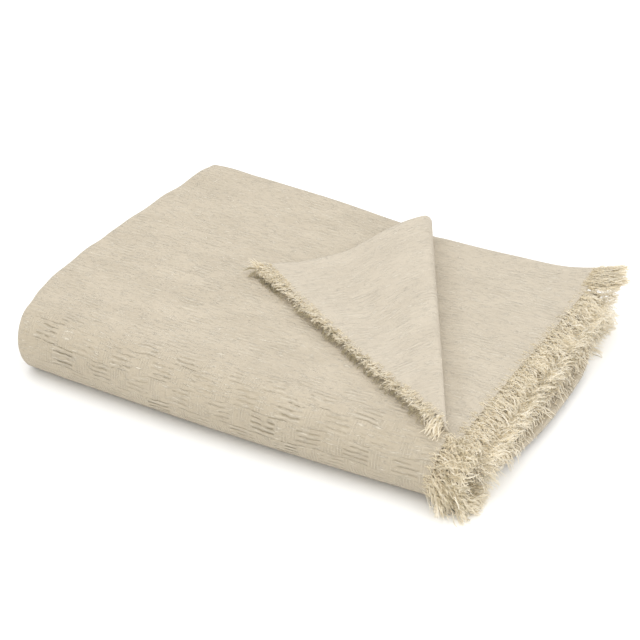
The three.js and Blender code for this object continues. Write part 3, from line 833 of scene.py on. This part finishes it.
def join_strands(name, centre, facing, shade, rng):
    """One mesh of thin, flattened strands along rows of centre points."""
    count = len(centre)
    tangent = unit(np.gradient(centre, axis=1))
    across = unit(np.cross(tangent, facing[:, None]))
    upwards = np.cross(across, tangent)
    corner = np.arange(STRAND_SIDES)
    turn = ((corner / STRAND_SIDES + FLAT_SIDE_UP) * 2 * math.pi)[:, None]
    ring = across[:, :, None] * np.cos(turn) * STRAND_WIDTH
    ring = ring + upwards[:, :, None] * np.sin(turn) * STRAND_HEIGHT
    radius = STRAND_RADIUS * rng.uniform(0.65, 1.35, (count, 1)) * STRAND_PROFILE
    points = (centre[:, :, None] + ring * radius[:, :, None, None]).reshape(-1, 3)
    first_ring = (np.arange(count) * STRAND_RINGS * STRAND_SIDES)[:, None]
    rings = first_ring[:, :, None] + (np.arange(STRAND_RINGS - 1) * STRAND_SIDES)[:, None]
    at = rings + corner
    after = rings + (corner + 1) % STRAND_SIDES
    sides = np.stack([at, after, after + STRAND_SIDES, at + STRAND_SIDES], axis=-1).reshape(-1, 4)
    roots = first_ring + corner[::-1]
    tips = first_ring + (STRAND_RINGS - 1) * STRAND_SIDES + corner
    faces = sides.tolist() + roots.tolist() + tips.tolist()
    along = np.tile(np.repeat(RINGS, STRAND_SIDES), count)
    shade = np.repeat(shade, STRAND_RINGS * STRAND_SIDES)
    # both are shares and not lengths, so this undoes the change to metres
    shares = np.stack([along, shade], axis=-1) / MM
    return add_mesh(name, points, faces, shares, smoothed=False)


# ---- materials ----


def linear(hex_colour):
    """An sRGB hex colour as linear RGBA."""
    channels = [int(hex_colour[i : i + 2], 16) / 255 for i in (1, 3, 5)]
    return [c / 12.92 if c <= 0.04045 else ((c + 0.055) / 1.055) ** 2.4 for c in channels] + [1.0]


def node(tree, kind, *inputs, **settings):
    """
    Adds a shader node with its settings. Each input is a value, a socket, or a node whose first
    output is meant. They come in the node's own order, or by name in one dict.
    """
    made = tree.nodes.new("ShaderNode" + kind)
    for key, value in settings.items():
        setattr(made, key, value)
    named = inputs[0] if inputs and isinstance(inputs[0], dict) else dict(enumerate(inputs))
    for key, value in named.items():
        if isinstance(value, bpy.types.Node):
            value = value.outputs[0]
        if isinstance(value, bpy.types.NodeSocket):
            tree.links.new(value, made.inputs[key])
        else:
            made.inputs[key].default_value = value
    return made


def new_material(name):
    material = bpy.data.materials.new(name)
    material.use_nodes = True
    material.node_tree.nodes.clear()
    return material, material.node_tree


def cloud(tree, at, size, seed, detail=2.0):
    """Uneven values from 0 to 1, in patches of the given length and width in millimetres."""
    u = node(tree, "Math", at[0], size[0], operation="DIVIDE")
    v = node(tree, "Math", at[1], size[1], operation="DIVIDE")
    place = node(tree, "CombineXYZ", u, v, seed)
    inputs = {"Vector": place, "Scale": 1.0, "Detail": detail, "Roughness": 0.55}
    return node(tree, "TexNoise", inputs)


def marks(tree, at, size, seed, low, high, detail=2.0):
    """Scattered soft marks of that size: 0 where the cloud is below low, 1 where it is above high."""
    unevenness = cloud(tree, at, size, seed, detail)
    return node(tree, "MapRange", unevenness, low, high, interpolation_type="SMOOTHSTEP")


def layered(tree, colour, layers):
    """Lays colours over the first one. Each layer is where it lies, how strong it is, and its hex."""
    for where, strength, hex_colour in layers:
        amount = node(tree, "Math", where, strength, operation="MULTIPLY")
        colour = node(tree, "MixRGB", amount, colour, linear(hex_colour))
    return colour


BLOCK_LENGTH = 24.25  # one block of the basket pattern, along the cloth
BLOCK_WIDTH = 20.0
FLOAT_PITCH = 5.0  # the bundles of yarn that lie over each block
RIB_PITCH = 3.1  # the fine ribs between the blocks
YARN_PITCH = 1.9  # the real yarns are 1.1 mm apart, drawn coarser so that they show
WANDER = 11.0  # how far the weave drifts sideways, slowly and in short wriggles
WRIGGLE = 2.4
FRONT_BEND = (310.0, 390.0)  # where, across the cloth, it starts to bend round the front
PAINTED_SHADE_AT_END = (1500.0, 1600.0)  # where, along the cloth, painted shade begins: its last part, the panel on top at the right, is painted darker so that it looks no lighter than the rest of the top


def slubby_cotton():
    """
    Undyed cotton woven in a loose basket pattern from uneven yarn, washed soft. Blocks of
    bundled yarns show as groups of short ridges, slubs as pale dashes along the cloth, bits of
    husk as darker dashes, and the plain weave as a fine even tooth. Dull, with a little bloom
    from loose fibres at grazing angles.
    """
    material, tree = new_material("slubby_cotton")
    split = node(tree, "SeparateXYZ", node(tree, "UVMap", uv_map="cloth"))
    u = node(tree, "Math", split.outputs[0], 1 / MM, operation="MULTIPLY")
    straight = node(tree, "Math", split.outputs[1], 1 / MM, operation="MULTIPLY")
    wander = cloud(tree, (u, straight), (80, 55), 1.0)
    wriggle = cloud(tree, (u, straight), (13, 9), 5.0, 1.0)
    v = node(tree, "Math", wander, WANDER, straight, operation="MULTIPLY_ADD")
    v = node(tree, "Math", wriggle, WRIGGLE, v, operation="MULTIPLY_ADD")
    at = (u, v)
    bent = node(tree, "MapRange", straight, *FRONT_BEND, interpolation_type="SMOOTHSTEP")
    painted_end_shade = node(tree, "MapRange", u, *PAINTED_SHADE_AT_END, interpolation_type="SMOOTHSTEP")

    # basket blocks, each row staggered by half a repeat, and no two alike
    row = node(tree, "Math", v, BLOCK_WIDTH, operation="DIVIDE")
    row = node(tree, "Math", row, operation="FLOOR")
    odd = node(tree, "Math", row, 2.0, operation="MODULO")
    repeat = node(tree, "Math", u, 2 * BLOCK_LENGTH, operation="DIVIDE")
    repeat = node(tree, "Math", odd, 0.5, repeat, operation="MULTIPLY_ADD")
    from_edge = node(tree, "Math", repeat, 0.5, operation="PINGPONG")
    block = node(tree, "MapRange", from_edge, 0.21, 0.27, interpolation_type="SMOOTHSTEP")
    between = node(tree, "Math", 1.0, block, operation="SUBTRACT")
    column = node(tree, "Math", repeat, operation="FLOOR")
    which = node(tree, "CombineXYZ", column, row, 3.0)
    own_strength = node(tree, "TexWhiteNoise", {"Vector": which})
    strength = node(tree, "Math", own_strength, 0.8, operation="MULTIPLY")
    patch = marks(tree, at, (70, 50), 2.0, 0.35, 0.7)
    strength = node(tree, "Math", patch, 0.4, strength, operation="MULTIPLY_ADD")
    broken = marks(tree, at, (17, 3.5), 3.0, 0.42, 0.52)
    woven_in = node(tree, "Math", block, strength, operation="MULTIPLY")
    woven_in = node(tree, "Math", woven_in, broken, operation="MULTIPLY")

    # the floats over each block: grooves with soft yarn puffed up between them, which open up
    # and stand out where the cloth bends round the front
    phase = node(tree, "Math", v, 2 * math.pi / FLOAT_PITCH, operation="MULTIPLY")
    crest = node(tree, "Math", phase, operation="COSINE")
    crest = node(tree, "Math", crest, 0.5, 0.5, operation="MULTIPLY_ADD")
    groove = node(tree, "Math", crest, 6.0, operation="POWER")
    opened = node(tree, "Math", bent, 1.0, 0.4, operation="MULTIPLY_ADD")
    floats = node(tree, "Math", groove, woven_in, operation="MULTIPLY")
    floats = node(tree, "Math", floats, opened, operation="MULTIPLY")
    puff = node(tree, "Math", 1.0, crest, operation="SUBTRACT")
    puff = node(tree, "Math", puff, 3.0, operation="POWER")
    puff = node(tree, "Math", puff, woven_in, operation="MULTIPLY")
    phase = node(tree, "Math", u, 2 * math.pi / RIB_PITCH, operation="MULTIPLY")
    ribs = node(tree, "Math", phase, operation="COSINE")
    ribs_shown = node(tree, "Math", bent, 0.8, 0.2, operation="MULTIPLY_ADD")
    for share in (between, ribs_shown, marks(tree, at, (9, 14), 21.0, 0.4, 0.6)):
        ribs = node(tree, "Math", ribs, share, operation="MULTIPLY")

    # uneven yarn: thick slubs, husks and tiny neps, and pale and dark yarns. The reverse, which
    # shows on the turned corner, is smoother, and it is painted a little paler as painted light on that
    # corner.
    reverse = node(tree, "Attribute", attribute_name="reverse").outputs["Fac"]
    grain = node(tree, "Math", reverse, -0.45, 1.0, operation="MULTIPLY_ADD")
    slub = marks(tree, at, (13, 1.3), 4.0, 0.55, 0.68)
    husk = marks(tree, at, (10, 1.2), 6.0, 0.62, 0.7)
    husk = node(tree, "Math", husk, grain, operation="MULTIPLY")
    nep = marks(tree, at, (1.5, 1.3), 8.0, 0.74, 0.84, 0.0)
    pale = marks(tree, at, (3.4, 1.2), 14.0, 0.56, 0.72)
    pale = node(tree, "Math", pale, grain, operation="MULTIPLY")
    dark = marks(tree, at, (3.0, 1.2), 17.0, 0.58, 0.74)
    dark = node(tree, "Math", dark, grain, operation="MULTIPLY")
    fuzz = cloud(tree, at, (1.6, 1.1), 9.0, 3.0)
    warp = node(tree, "Math", u, 2 * math.pi / YARN_PITCH, operation="MULTIPLY")
    warp = node(tree, "Math", warp, operation="SINE")
    weft = node(tree, "Math", v, 2 * math.pi / YARN_PITCH, operation="MULTIPLY")
    weft = node(tree, "Math", weft, operation="SINE")
    weave = node(tree, "Math", warp, weft, operation="MULTIPLY")

    # heights in millimetres
    height = 0.0
    for relief, rise in (
        (floats, -1.1),
        (puff, 0.6),
        (ribs, 0.35),
        (slub, 0.5),
        (husk, -0.12),
        (nep, 0.2),
        (fuzz, 0.55),
        (weave, 0.03),
    ):
        height = node(tree, "Math", relief, rise, height, operation="MULTIPLY_ADD")
    bump = node(tree, "Bump", {"Strength": 1.0, "Distance": MM, "Height": height})

    blotch = marks(tree, at, (60, 34), 11.0, 0.3, 0.7, 3.0)
    colour = node(tree, "MixRGB", blotch, linear("#b6ab98"), linear("#beb3a0"))
    layers = (
        # painted shade: the cloth is darkened where it bends round the front, as the front fold faces
        # away from the light
        (bent, 0.35, "#a2967f"),
        # painted shade: the last part of the cloth, seen as the panel on top at the right, darkened to
        # even out the light on it
        (painted_end_shade, 0.13, "#a2967b"),
        (slub, 0.75, "#d8cfbd"),
        # painted shade: the grooves between the floats are painted darker, as the shade that falls in
        # them
        (floats, 0.42, "#857652"),
        # painted light: the yarn puffed up between the grooves is painted paler, as if it catches more
        # light
        (puff, 0.3, "#ded6c4"),
        (ribs, 0.22, "#dcd4c1"),
        (husk, 0.28, "#9b8c69"),
        (nep, 0.5, "#ddd6c7"),
        (pale, 0.2, "#dcd4c2"),
        (dark, 0.18, "#988b70"),
        # painted light: the reverse, seen on the turned corner, is painted a little paler so that the
        # corner looks as brightly lit as the top; its smoother face is its own
        (reverse, 0.13, "#dfd8cd"),
    )
    shader = node(
        tree,
        "BsdfPrincipled",
        {
            "Base Color": layered(tree, colour, layers),
            "Roughness": 0.92,
            "Specular IOR Level": 0.2,
            "Sheen Weight": 0.12,
            "Sheen Roughness": 0.5,
            "Normal": bump,
        },
    )
    node(tree, "OutputMaterial", shader)
    return material


FLUFF_SCALE = 900.0  # about 1.1 mm across, a little coarser than real fluff so that it shows


def cut_yarn():
    """
    Loose cut ends of the same cotton yarn, untwisting. Each end has its own shade, and light
    passes through their fluff. Painted shade darkens them towards the root, where they crowd, and
    darkens some of them towards the tip, standing in for the shade under and among the others.
    """
    material, tree = new_material("cut_cotton_yarn")
    split = node(tree, "SeparateXYZ", node(tree, "UVMap", uv_map="cloth"))
    along, shade = split.outputs[0], split.outputs[1]
    colour = node(tree, "MixRGB", shade, linear("#f3ebd8"), linear("#f9f4e8"))
    # painted shade towards the root, where the strands crowd together
    root = node(tree, "MapRange", along, 0.45, 0.0, interpolation_type="SMOOTHSTEP")
    # painted shade towards the tip, for strands whose shade is below 0
    painted_tip_shade = node(tree, "MapRange", shade, -0.1, -0.9, interpolation_type="SMOOTHSTEP")
    tip = node(tree, "MapRange", along, 0.35, 0.75, interpolation_type="SMOOTHSTEP")
    painted_tip_shade = node(tree, "Math", painted_tip_shade, tip, operation="MULTIPLY")
    colour = layered(tree, colour, ((root, 0.18, "#d8caa0"), (painted_tip_shade, 0.6, "#978a55")))
    place = node(tree, "NewGeometry").outputs["Position"]
    fluff = node(tree, "TexNoise", {"Vector": place, "Scale": FLUFF_SCALE, "Detail": 2.0})
    bump = node(tree, "Bump", {"Strength": 0.5, "Distance": MM, "Height": fluff})
    shader = node(
        tree,
        "BsdfPrincipled",
        {"Base Color": colour, "Roughness": 0.95, "Specular IOR Level": 0.15, "Normal": bump},
    )
    through = node(tree, "MixRGB", 0.5, colour, linear("#ffffff"))
    glow = node(tree, "BsdfTranslucent", {"Color": through})
    node(tree, "OutputMaterial", node(tree, "MixShader", 0.75, shader, glow))
    return material


def painted_floor():
    """Smooth matt paint: it shows nothing but the soft shade under the throw."""
    material, tree = new_material("matt_painted_floor")
    shader = node(tree, "BsdfPrincipled", {"Base Color": linear("#fafaf9"), "Roughness": 0.9})
    node(tree, "OutputMaterial", shader)
    return material


# ---- camera, light and floor ----

CAMERA_AZIMUTH = 28.3
CAMERA_ELEVATION = 31.88
CAMERA_DISTANCE = 1.692  # metres
CAMERA_TARGET = (-11.66, 46.68)  # on the floor, in millimetres
CAMERA_LENS = 90.0
FLOOR_REACH = 6000.0
WORLD_STRENGTH = 1.2


def aim(thing, back):
    thing.rotation_mode = "QUATERNION"
    thing.rotation_quaternion = (-back).to_track_quat("-Z", "Y")


def direction(azimuth, elevation):
    a, e = math.radians(azimuth), math.radians(elevation)
    return Vector((math.sin(a) * math.cos(e), -math.cos(a) * math.cos(e), math.sin(e)))


def make_camera(shift):
    data = bpy.data.cameras.new("camera")
    data.lens = CAMERA_LENS
    data.sensor_width = 36.0
    data.clip_start = 0.1
    data.clip_end = 30.0
    camera = bpy.data.objects.new("camera", data)
    bpy.context.collection.objects.link(camera)
    back = direction(CAMERA_AZIMUTH, CAMERA_ELEVATION)
    target = Vector((CAMERA_TARGET[0] + shift[0], CAMERA_TARGET[1] + shift[1], 0)) * MM
    camera.location = target + back * CAMERA_DISTANCE
    aim(camera, back)
    bpy.context.scene.camera = camera


def make_light(name, azimuth, elevation, size, energy, distance):
    data = bpy.data.lights.new(name, "AREA")
    data.shape = "DISK"
    data.size = size
    data.energy = energy
    light = bpy.data.objects.new(name, data)
    bpy.context.collection.objects.link(light)
    back = direction(azimuth, elevation)
    light.location = back * distance
    aim(light, back)


def make_studio():
    corners = [(-1, -1, 0), (1, -1, 0), (1, 1, 0), (-1, 1, 0)]
    floor = add_mesh("floor", np.array(corners) * FLOOR_REACH, [(0, 1, 2, 3)])
    floor.data.materials.append(painted_floor())
    world = bpy.data.worlds.new("studio")
    world.use_nodes = True
    background = world.node_tree.nodes["Background"]
    background.inputs["Color"].default_value = linear("#ffffff")
    background.inputs["Strength"].default_value = WORLD_STRENGTH
    bpy.context.scene.world = world
    make_light("key", azimuth=20, elevation=78, size=2.6, energy=15, distance=2.2)
    make_light("fill", azimuth=70, elevation=20, size=4.2, energy=20, distance=3.4)
    bpy.context.scene.view_settings.view_transform = "Standard"


# ---- assembly ----

NEAT_MIDDLE = np.array([12.8, 1.34, 0.0])  # the middle of the cloth as built, before it is moved
low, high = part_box("throw_cloth")
cad_middle = np.array([low.x + high.x, low.y + high.y, 0]) / 2 / MM
shift = cad_middle - NEAT_MIDDLE
make_camera(shift)
make_studio()
cloth = make_cloth(shift)
cloth.data.materials.append(slubby_cotton())
yarn = cut_yarn()
last_row = ROWS.cells - 0.3
flap_fringe = make_strands("fringe_on_turned_corner", LAYER_0, 0.5, ROWS_IN_TOP - 0.5, 11, shift)
first_fringe = make_strands("fringe_of_first_end", LAYER_0, ROWS_IN_TOP + 0.2, last_row, 12, shift)
second_fringe = make_strands("fringe_of_second_end", LAYER_1, 0.5, last_row, 13, shift)
for fringe, stands_for in (
    (flap_fringe, "fringe_turned_corner"),
    (first_fringe, "fringe_first_end"),
    (second_fringe, "fringe_second_end"),
):
    fringe.data.materials.append(yarn)
    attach(fringe, "root")
    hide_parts(stands_for)
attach(cloth, "root")
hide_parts("throw_cloth")
